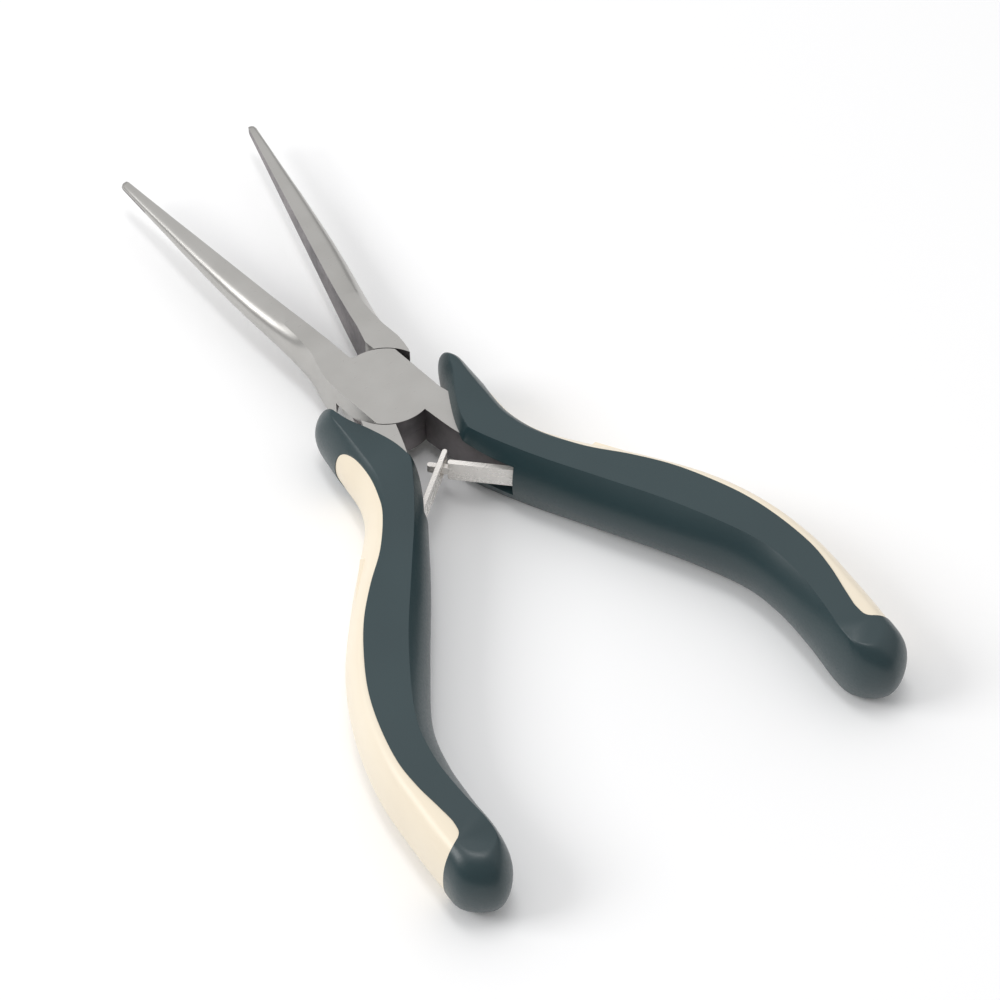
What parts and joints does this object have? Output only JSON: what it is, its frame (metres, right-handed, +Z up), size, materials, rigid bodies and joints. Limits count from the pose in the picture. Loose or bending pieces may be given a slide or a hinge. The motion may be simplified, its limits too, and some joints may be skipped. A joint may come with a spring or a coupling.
{
  "type": "needle nose pliers",
  "caption": "Long needle nose pliers with a flush lap joint, interlocking leaf springs that hold them open, and two-tone contoured grips with guards.",
  "frame": {"origin": "middle of the footprint at rest, on the surface the pliers lie on, with the pivot axis on X = 0 ahead of it", "axes": "+Y towards the jaw tips along the centre line, +Z up through the flat of the joint along the pivot axis, +X to the right"},
  "size_m": [0.0742, 0.1401, 0.012],
  "materials": {
    "ground_steel": "satin ground",
    "rivet_steel": "satin ground, flush with the joint",
    "spring_steel": "nickel plated strip",
    "cream_plastic": "smooth moulded",
    "green_rubber": "soft moulded, fine grain"
  },
  "bodies": {
    "right_handled_half": {"upper_half": "ground_steel", "pivot_rivet": "rivet_steel", "right_grip_core": "cream_plastic", "right_grip_cover": "green_rubber"},
    "left_handled_half": {"lower_half": "ground_steel", "left_grip_core": "cream_plastic", "left_grip_cover": "green_rubber"},
    "tongue_leaf": {"spring_leaf_with_tongue": "spring_steel"},
    "window_leaf": {"spring_leaf_with_window": "spring_steel"}
  },
  "joints": [
    {"name": "pivot", "type": "hinge", "parent": "right_handled_half", "child": "left_handled_half", "pos_m": [0, 0.01176, 0.006], "axis": [0, 0, -1], "range_deg": [-20.6, 3], "stiffness_Nm_per_rad": 0.6},
    {"name": "tongue_leaf_flex", "type": "hinge", "parent": "right_handled_half", "child": "tongue_leaf", "pos_m": [0.008, -0.01004, 0.006], "axis": [0, 0, 1], "range_deg": [-17.4, 2.8]},
    {"name": "window_leaf_flex", "type": "hinge", "parent": "left_handled_half", "child": "window_leaf", "pos_m": [-0.008, -0.01004, 0.006], "axis": [0, 0, -1], "range_deg": [-17.4, 2.8]}
  ],
  "couplings": [
    {"joint": "tongue_leaf_flex", "follows": "pivot", "ratio": 0.82},
    {"joint": "window_leaf_flex", "follows": "pivot", "ratio": 0.82}
  ]
}
